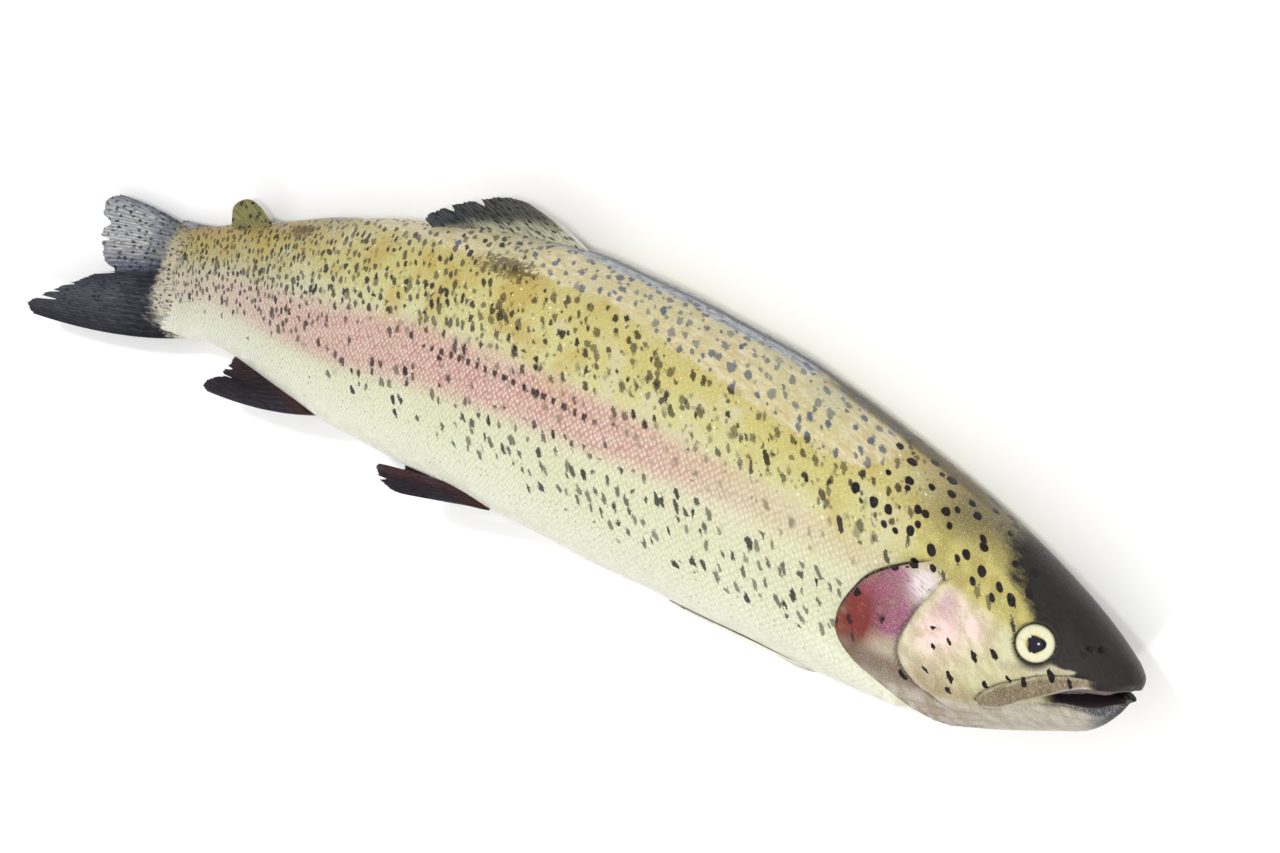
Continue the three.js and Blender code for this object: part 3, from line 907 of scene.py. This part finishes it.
def trunk_marks(behind, angle, i):
    """Where the trunk's colours, marks, scales and sheen lie."""
    size = np.abs(angle)
    stripe_middle = smooth_lookup(behind, [(50, 79), (85, 80), (110, 82), (135, 84), (180, 86),
                                           (230, 90), (270, 96), (310, 98), (370, 95)])
    stripe_half = smooth_lookup(behind, [(50, 7), (90, 8), (135, 10), (200, 13), (260, 17),
                                         (300, 17), (370, 14)])
    stripe_depth = smooth_lookup(behind, [(50, 0.2), (85, 0.22), (110, 0.42), (140, 0.75),
                                          (180, 0.85), (260, 0.8), (300, 0.6), (330, 0.35),
                                          (370, 0.1)])
    across = np.abs(size - stripe_middle) / stripe_half
    scaled = np.where(i > LAST_SLIT_ROW, 1.0, 0.0) * rise(behind, 58, 66)
    back = 1 - rise(size, 58, 80)
    sheen_edge = smooth_lookup(behind, [(60, 40), (95, 54), (130, 50), (170, 42), (215, 42),
                                        (255, 34), (285, 20), (370, 10)])
    line = smooth_lookup(behind, [(60, 88), (100, 87), (130, 86), (165, 85), (205, 85),
                                  (255, 88), (310, 92), (370, 95)])
    low_band = rise(size, 89, 95) * (1 - rise(size, 114, 126))
    marks = {
        "level": size / 180,
        "tail": rise(behind, 235, 330),
        "scaled": scaled * (1 - 0.5 * rise(size, 120, 160)),
        "stripe": stripe_depth * (1 - rise(across, 0.35, 1.1)) * scaled,
        # Painted sheen along the back, and painted reflection at its very edge.
        "sheen": (1 - rise(size, sheen_edge - 14, sheen_edge + 6)) * rise(behind, 66, 92)
                 * (1 - rise(behind, 262, 300)),
        "blue_edge": (1 - rise(size, 4, 22)) * rise(behind, 98, 112) * (1 - rise(behind, 178, 235)),
        "golden": (1 - rise(size, 70, 90)) * rise(behind, 56, 72) * (1 - rise(behind, 340, 360)),
        "back_ridge": (1 - rise(size, 5, 12)) * rise(behind, 40, 60)
                      * (1 - rise(behind, 95, 112)),
        "back_line": (1 - rise(size, 1.2, 3.4)) * rise(behind, 60, 90) * 0.9,
        "upper_spots": 0.95 * back * rise(behind, 60, 78) * (1 - 0.85 * rise(behind, 190, 225)),
        "middle_marks": 0.9 * rise(behind, 185, 225) * (1 - rise(behind, 262, 300))
                        * (1 - rise(size, 66, 84)),
        "flank_spots": 0.62 * rise(size, 46, 58) * (1 - rise(size, 84, 92)) * rise(behind, 64, 80),
        "tail_streaks": 0.97 * rise(behind, 255, 292)
                        * (1 - rise(size, 86 + 26 * rise(behind, 320, 360), 112)),
        "low_marks": np.clip(0.92 * low_band * rise(behind, 66, 84) * (1 - rise(behind, 190, 225))
                             + 0.7 * hump(size, 79, 7) * rise(behind, 120, 190)
                             + 0.42 * low_band * rise(behind, 190, 225)
                             + 0.35 * rise(size, 54, 62) * (1 - rise(size, 72, 80)), 0, 1),
        "specks": 0.55 * rise(size, 104, 112) * (1 - rise(size, 134, 148)) * rise(behind, 70, 90),
        "line_beads": hump(size, line, 1.3) * rise(behind, 150, 162) * (1 - rise(behind, 218, 236)),
        "scuff": np.clip(hump(behind, 205, 17) * hump(size, 38, 11)
                         + hump(behind, 300, 10) * hump(size, 36, 13)
                         + 0.6 * hump(behind, 96, 8) * hump(size, 50, 9)
                         + 0.45 * hump(behind, 150, 10) * hump(size, 52, 10), 0, 1),
        "stalk": np.clip(rise(behind, 350, 372) * 0.9 + 0.5 * rise(behind, 336, 358)
                         * (1 - rise(size, 16, 40)), 0, 1),
    }
    return marks


# ---- Fins ----

def belly_height(x, z):
    """How low the belly is at a place on its right or left half, forward of the roll."""
    back, belly, half_width, middle, _ = np.moveaxis(smooth_lookup(SNOUT_X - x, STATIONS), -1, 0)
    sine = np.clip(np.abs(z - middle) / half_width, 0, 0.98) ** (1 / FULLNESS)
    cosine = np.sqrt(1 - sine**2)
    return (back + belly) / 2 - (back - belly) / 2 * cosine**FULLNESS


def fin_piece(name, root, along, across, base, bend, tip, rays, web, ray, root_half,
              lift=0.0, notch=0.3, tears=(), rows=60, per_ray=9, mirrored=False, draped=0.0):
    """A fin of fanned, branching rays with a thin web between them.

    base, bend and tip are knots (0 at the leading ray to 1 at the last, along, across) of where
    the rays start, lean and end. web, ray and root_half are half thicknesses; draped lays the
    fin on the belly at that height.
    """
    forward = np.array(along, float) / np.linalg.norm(along)
    up = np.cross(forward, np.array(across, float))
    up /= np.linalg.norm(up)
    side = np.cross(up, forward)
    columns = rays * per_ray

    def parts(i, j):
        u = i / rows
        v = 1 - np.abs(j / columns - 1)
        top = np.where(j <= columns, 1.0, -1.0)
        return u, v, top

    def curves(v):
        return [smooth_lookup(v, knots) for knots in (base, bend, tip)]

    def ridge(u, v):
        once = 0.5 + 0.5 * np.cos(2 * np.pi * rays * v)
        twice = 0.5 + 0.5 * np.cos(4 * np.pi * rays * v)
        split = rise(u, 0.35, 0.7)
        return once * (1 - split) + twice * split

    def place(i, j):
        u, v, top = parts(i, j)
        start, lean, end = curves(v)
        uneven = 0.5 + 0.5 * np.sin(v * 37 + 1.3) * np.sin(v * 91 + 0.4)
        shorter = notch * (1 - ridge(u, v)) + notch * 2.2 * uneven
        for at, width, depth in tears:
            shorter = shorter + depth * np.clip(1 - np.abs(v - at) / width, 0, 1) ** 0.7
        reach = np.linalg.norm(end - start, axis=-1)
        w = (u * (1 - shorter / reach * rise(u, 0.2, 1)))[:, None]
        flat = (1 - w) ** 2 * start + 2 * w * (1 - w) * lean + w**2 * end
        margin = np.clip(np.minimum(v, 1 - v) * rays * 2.2, 0, 1)
        margin = np.sqrt(1 - (1 - margin) ** 2)
        tip_edge = np.sqrt(np.clip((1 - u) * rows / 3, 0, 1))
        half = web + (ray * (1 - 0.55 * u)) * ridge(u, v) + root_half * (1 - rise(u, 0, 0.3))
        half = half * margin * tip_edge
        raised = lift * (u**1.5) * np.sin(v * 5.2 + 0.8) + 0.25 * lift * u * np.sin(v * 17)
        points = np.array(root, float) + flat[:, :1] * forward + flat[:, 1:] * side
        if draped:
            skin = belly_height(points[:, 0], points[:, 2])
            points[:, 1] = skin - draped - top * half + (1 - rise(u, 0, 0.12)) * 1.5
        else:
            points = points + (raised + top * half)[:, None] * up
        if mirrored:
            middle = smooth_lookup(SNOUT_X - root[0], STATIONS)[3]
            points[:, 2] = 2 * middle - points[:, 2]
        points[:, 2] = np.maximum(points[:, 2], 0.2)
        return points

    def extras(i, j):
        u, v, _ = parts(i, j)
        start, _, end = curves(v)
        reach = np.linalg.norm(end - start, axis=-1)
        width = np.linalg.norm(np.diff(curves(np.array([0.0, 1.0]))[2], axis=0))
        return {"rays": np.stack([u * reach, v * width], -1) * MM,
                "outward": u, "fan": v, "ridge": ridge(u, v)}

    return grid_mesh(name, rows, 2 * columns, place, extras)


RAY_LIGHTENS, GRAIN_LIGHTENS, GRAIN_DARKENS = (2.1, 2.1, 2.1), (2.0, 2.0, 2.0), (0.4, 0.4, 0.4)
PAST_THE_ROOT = (0.30, 0.32, 0.36)
LEADING_EDGE = (0.62, 0.62, 0.58)
FIN_RELIEF = 0.25 * MM


def fin_finish(name, web, root, root_reach, spot_tone, spots, spot_cell, pale_edge=0.0,
               root_shade=0.0):
    """Wet web, toned from the leading ray to the last, with paler jointed rays and dark marks."""
    finish = Finish(name)
    outward, fan, ridge = (finish.mark(n) for n in ("outward", "fan", "ridge"))
    plain = finish.flat("rays")
    mottle = finish.noise(plain, 0.16, 4.0)
    grain = finish.noise(finish.flat("rays", (5.0, 0.8)), 1.0, 4.0, 0.65)
    fine = finish.noise(plain, 0.9, 3.0, 0.6)
    colour = finish.ramp(fan + (mottle - 0.5) * 0.12, web)
    colour = finish.mix(finish.rise(ridge, 0.3, 0.95) * 0.5, colour, RAY_LIGHTENS, "MULTIPLY")
    colour = finish.mix(finish.rise(grain, 0.48, 0.72) * 0.7, colour, GRAIN_LIGHTENS, "MULTIPLY")
    colour = finish.mix(finish.rise(grain, 0.50, 0.30) * 0.6, colour, GRAIN_DARKENS, "MULTIPLY")
    ragged = outward + (mottle - 0.5) * 0.3 + (grain - 0.5) * 0.3
    near = finish.rise(ragged, root_reach, root_reach * 0.45)
    beyond = finish.rise(ragged, root_reach * 1.9, root_reach * 1.1) * root_shade
    colour = finish.mix(beyond, colour, PAST_THE_ROOT, "MULTIPLY")
    skin = finish.mix(finish.rise(grain, 0.52, 0.62) * 0.6, finish.ramp(fan, root), spot_tone)
    colour = finish.mix(near, colour, skin)
    kind = (spot_cell, 0.2, 0.0, (1.0, 0.4), 0.36, 0.12, 0.85)
    marks = finish.scatter(kind, spots + mottle * 0.2 - 0.1, fine, "rays")
    colour = finish.mix(marks * 0.95, colour, spot_tone)
    colour = finish.mix(finish.rise(fan, 0.05, 0.012) * pale_edge, colour, LEADING_EDGE)
    joints = finish.noise(finish.flat("rays", (0.8, 1.6)), 1.0, 2.0)
    relief = finish.bump(joints * ridge * 0.6 + grain * 0.8 + mottle * 1.5, FIN_RELIEF)
    return finish.end(Base_Color=colour, Roughness=0.16 + mottle * 0.25, Normal=relief,
                      Specular_IOR_Level=0.16)


def even(colour):
    return [(0.0, colour), (1.0, colour)]


def fins():
    olive = fin_finish("olive_fin", [(0, (0.14, 0.14, 0.115)), (0.12, (0.06, 0.06, 0.05)),
                                     (0.7, (0.026, 0.028, 0.028)), (1, (0.045, 0.05, 0.052))],
                       even((0.48, 0.47, 0.33)), 0.72, (0.010, 0.011, 0.016), 0.85, (3.8, 2.0),
                       0.8)
    adipose = fin_finish("adipose_fin_skin", even((0.15, 0.14, 0.055)),
                         even((0.24, 0.18, 0.05)), 0.4, (0.012, 0.011, 0.012), 0.8, (2.6, 3.0))
    grey = fin_finish("grey_tail", [(0, (0.10, 0.11, 0.13)), (0.07, (0.24, 0.25, 0.26)),
                                    (0.30, (0.30, 0.30, 0.30)), (0.44, (0.10, 0.10, 0.13)),
                                    (0.50, (0.022, 0.022, 0.032)), (0.72, (0.055, 0.06, 0.07)),
                                    (0.90, (0.035, 0.035, 0.043)), (1, (0.014, 0.014, 0.02))],
                      [(0, (0.36, 0.28, 0.10)), (0.25, (0.48, 0.43, 0.28)),
                       (0.6, (0.54, 0.48, 0.38)), (1, (0.60, 0.57, 0.44))],
                      0.30, (0.016, 0.016, 0.026), 0.72, (3.6, 2.3), root_shade=0.75)
    dark = fin_finish("dark_fin", [(0, (0.022, 0.020, 0.027)), (0.4, (0.012, 0.009, 0.013)),
                                   (1, (0.038, 0.014, 0.016))],
                      even((0.045, 0.017, 0.016)), 0.34, (0.008, 0.007, 0.009), 0.3, (4.0, 3.0))
    pale = fin_finish("pale_fin", [(0, (0.42, 0.40, 0.34)), (0.3, (0.50, 0.48, 0.40)),
                                   (1, (0.56, 0.54, 0.45))],
                      even((0.60, 0.58, 0.48)), 0.3, (0.30, 0.27, 0.25), 0.15, (4.0, 3.0))

    dorsal = fin_piece(
        "dorsal_fin_rays", (17, 54.5, 24), (-0.987, -0.16, 0), (-0.16, 0.987, -0.3),
        base=[(0, -1, -3), (0.5, 28, -3.5), (1, 57, -5.5)],
        bend=[(0, 13, 7.5), (0.5, 38, 4), (1, 61, 0)],
        tip=[(0, 31, 12.8), (0.2, 39, 13.6), (0.4, 47, 12), (0.7, 58, 7.8), (0.9, 65.5, 4.5),
             (1, 66.5, 2.6)],
        rays=14, web=0.16, ray=0.28, root_half=0.5, lift=1.2,
        tears=((0.46, 0.03, 3), (0.71, 0.03, 2.5)), rows=48)
    hand_over(dorsal, olive, "fin", "dorsal_fin")

    lobe = fin_piece(
        "adipose_lobe", (-119, 24, 13), (-0.96, -0.28, 0), (-0.28, 0.96, 0.05),
        base=[(0, -1, -3), (1, 10, -5)], bend=[(0, 3, 2), (1, 14, -3)],
        tip=[(0, 6.5, 5), (0.25, 10, 7.8), (0.5, 14.6, 7.8), (0.75, 18.6, 5), (1, 20, -1)],
        rays=10, web=0.8, ray=0.05, root_half=1.0, lift=0.4, notch=0.0, rows=30, per_ray=6)
    hand_over(lobe, adipose, "fin", "adipose_fin")

    tail = fin_piece(
        "caudal_fin_rays", (-150, -8, 9), (-1, 0, 0), (0, 1, -0.14),
        base=[(0, 4, 15.5), (0.25, 12, 10), (0.5, 13, -1), (0.8, 6, -12), (1, -10, -15)],
        bend=[(0, 30, 20.5), (0.25, 32, 9), (0.5, 32, -5), (0.8, 36, -19), (1, 24, -31)],
        tip=[(0, 53, 18.4), (0.07, 59, 15), (0.14, 59.5, 9), (0.19, 54, 7.4), (0.24, 57, 4),
             (0.33, 55, -1), (0.42, 51, -6.5), (0.46, 45, -8.4), (0.5, 51, -11),
             (0.6, 61, -17.5), (0.72, 71, -24), (0.84, 79, -29.5), (0.93, 83.3, -33.6),
             (1, 79, -36)],
        rays=24, web=0.22, ray=0.34, root_half=2.4, lift=1.4, notch=0.5,
        tears=((0.5, 0.02, 7), (0.83, 0.016, 9), (0.30, 0.014, 4), (0.64, 0.014, 3.5),
               (0.74, 0.012, 4)),
        rows=84, per_ray=8)
    hand_over(tail, grey, "fin", "caudal_fin")

    anal = fin_piece(
        "anal_fin_rays", (-76, -31, 22), (-1, 0, -0.12), (0, -1, 0.2),
        base=[(0, -3, -4), (0.5, 24, -9), (1, 45, -14)],
        bend=[(0, 22, 6.6), (0.5, 36, 0), (1, 47, -11)],
        tip=[(0, 56.5, 9.3), (0.1, 58.4, 7.6), (0.25, 56, 4.2), (0.42, 50.5, 1.2), (0.5, 52.5, 0.8),
             (0.75, 51, -4), (1, 48.5, -9.5)],
        rays=13, web=0.2, ray=0.3, root_half=0.9, lift=1.0,
        tears=((0.44, 0.03, 4), (0.62, 0.025, 3)), rows=50)
    hand_over(anal, dark, "dark_fin", "anal_fin")

    for side, mirrored in (("right", False), ("left", True)):
        pelvic = fin_piece(
            f"pelvic_fin_rays_{side}", (3, -25.5, 33), (-1, -0.1, 0.01), (0, -0.80, -0.60),
            base=[(0, 0, 3.5), (1, 2, -2)], bend=[(0, 20, 8.6), (1, 22, -2.5)],
            tip=[(0, 38, 10.9), (0.25, 43.5, 10), (0.55, 46.6, 7), (0.8, 46.4, 3.5),
                 (1, 44, 0.5)],
            rays=9, web=0.2, ray=0.35, root_half=0.8, lift=0.8,
            tears=((0.5, 0.04, 3),), rows=44, mirrored=mirrored)
        hand_over(pelvic, dark, "dark_fin", f"pelvic_fin_{side}")
        pectoral = fin_piece(
            f"pectoral_fin_rays_{side}", (119, -31.5, 29.9), (-1, -0.03, -0.02), (0, -0.22, -0.97),
            base=[(0, 0, 2.2), (1, 3, -2)], bend=[(0, 20, 5.5), (1, 22, -3.6)],
            tip=[(0, 44, 5.6), (0.3, 50.5, 3), (0.7, 50.5, -0.2), (1, 42, -3.0)],
            rays=13, web=0.15, ray=0.22, root_half=0.5, notch=0.2, rows=44,
            per_ray=8, mirrored=mirrored, draped=0.55)
        hand_over(pectoral, pale, "fin", f"pectoral_fin_{side}")


# ---- Eyes ----

IRIS = [(0.33, (0.30, 0.22, 0.07)), (0.385, (0.66, 0.61, 0.33)), (0.50, (0.76, 0.74, 0.50)),
        (0.71, (0.76, 0.74, 0.54)), (0.76, (0.52, 0.48, 0.28)), (0.81, (0.02, 0.02, 0.018))]
IRIS_REACH = 6.0
IRIS_FIBRE, PUPIL_BLACK = (0.42, 0.36, 0.19), (0.008, 0.009, 0.016)


def eye_finish():
    finish = Finish("trout_eye")
    far, turn = finish.mark("from_pupil"), finish.mark("round_pupil")
    fibres = finish.noise(finish.node("ShaderNodeCombineXYZ", {}, {
        0: far * 0.25, 1: turn * 14}), 1.0, 4.0)
    colour = finish.ramp(far / IRIS_REACH, IRIS)
    colour = finish.mix(finish.rise(fibres, 0.5, 0.72) * 0.45, colour, IRIS_FIBRE)
    colour = finish.mix(finish.mark("pupil"), colour, PUPIL_BLACK)
    return finish.end(Base_Color=colour, Roughness=0.12, Specular_IOR_Level=0.25)


def eyes():
    finish = eye_finish()
    for name, side in (("right", 1), ("left", -1)):
        centre, gaze = eye_axis(side)
        bm = bmesh.new()
        bmesh.ops.create_uvsphere(bm, u_segments=96, v_segments=96, radius=EYE_RADIUS)
        turn = Vector((0, 0, 1)).rotation_difference(Vector(gaze)).to_matrix().to_4x4()
        local = np.array([v.co[:] for v in bm.verts])
        bmesh.ops.transform(bm, matrix=turn, verts=bm.verts)
        turned = np.array([v.co[:] for v in bm.verts])
        bmesh.ops.transform(bm, verts=bm.verts, matrix=Matrix.Scale(MM, 4)
                            @ Matrix.Translation(Vector(centre + SHIFT)))
        smooth(bm)
        mesh = bpy.data.meshes.new(f"eyeball_{name}")
        bm.to_mesh(mesh)
        bm.free()
        ahead, over = turned[:, 0] - gaze[0] * local[:, 2], turned[:, 1] - gaze[1] * local[:, 2]
        far = np.where(local[:, 2] > 0, np.hypot(local[:, 0], local[:, 1]), EYE_RADIUS)
        around = np.arctan2(over, ahead)
        edge = PUPIL_RADIUS * (1 + 0.14 * np.cos(3 * (around - 0.35))) + 0.35 * np.cos(around)
        for label, values in (("from_pupil", far), ("round_pupil", np.abs(around)),
                              ("pupil", 1 - rise(far - edge, -0.12, 0.14))):
            add_mark(mesh, label, values)
        hand_over(in_scene(f"eyeball_{name}", mesh), finish, "eye", f"eye_{name}")


# ---- Stage ----

CAMERA_AT = (272.3, 147.0, 433.2)
LOOKS_ALONG = (-0.4705, -0.2768, -0.8378)
PICTURE_TOP = (-0.3433, 0.9321, -0.1151)
LENS = 47.8
FLOOR_SIZE = 3
FLOOR_BELOW = 0.0004
FLOOR_WHITE = (0.96, 0.96, 0.96)
ROOM_LIGHT = 0.42

# Lamps: name, place in metres, side of the square, power, tint.
LAMPS = [
    ("soft_box", (0.15, 0.10, 1.60), 2.4, 11.5, (1, 1, 1)),
    ("front_window", (0.75, 0.25, 1.25), 0.12, 6.5, (1.0, 0.99, 0.97)),
    ("rear_window", (-0.25, 0.60, 1.25), 0.10, 4.5, (0.97, 0.98, 1.0)),
    ("belly_window", (0.35, -0.70, 1.00), 0.10, 2.5, (1, 1, 1)),
]


def camera():
    lens = bpy.data.cameras.new("camera")
    lens.lens = LENS
    lens.clip_start, lens.clip_end = 0.01, 20
    holder = in_scene("camera", lens)
    forward = Vector(LOOKS_ALONG).normalized()
    right = forward.cross(Vector(PICTURE_TOP)).normalized()
    up = right.cross(forward)
    turn = Matrix((right, up, -forward)).transposed().to_4x4()
    place = Vector((np.array(CAMERA_AT) + SHIFT) * MM)
    holder.matrix_world = Matrix.Translation(place) @ turn
    bpy.context.scene.camera = holder


def lamp(name, place, size, power, tint):
    light = bpy.data.lights.new(name, "AREA")
    light.shape = "RECTANGLE"
    light.size = light.size_y = size
    light.energy = power
    light.color = tint
    in_scene(name, light).matrix_world = (
        Matrix.Translation(Vector(place))
        @ (-Vector(place)).to_track_quat("-Z", "Y").to_matrix().to_4x4())


def stage():
    bm = bmesh.new()
    bmesh.ops.create_grid(bm, x_segments=1, y_segments=1, size=FLOOR_SIZE)
    bmesh.ops.translate(bm, verts=bm.verts, vec=(0, 0, -FLOOR_BELOW))
    mesh = bpy.data.meshes.new("floor")
    bm.to_mesh(mesh)
    bm.free()
    floor = in_scene("floor", mesh)
    mesh.materials.append(Finish("pale_floor").end(Base_Color=FLOOR_WHITE, Roughness=0.8))
    world = bpy.data.worlds.new("studio")
    world.use_nodes = True
    room = world.node_tree.nodes["Background"].inputs
    room["Color"].default_value = (1, 1, 1, 1)
    room["Strength"].default_value = ROOM_LIGHT
    bpy.context.scene.world = world
    bpy.context.scene.view_settings.view_transform = "Standard"
    for settings in LAMPS:
        lamp(*settings)


camera()
stage()
hand_over(body_piece(), skin_finish(), "skin", "body")
fins()
eyes()
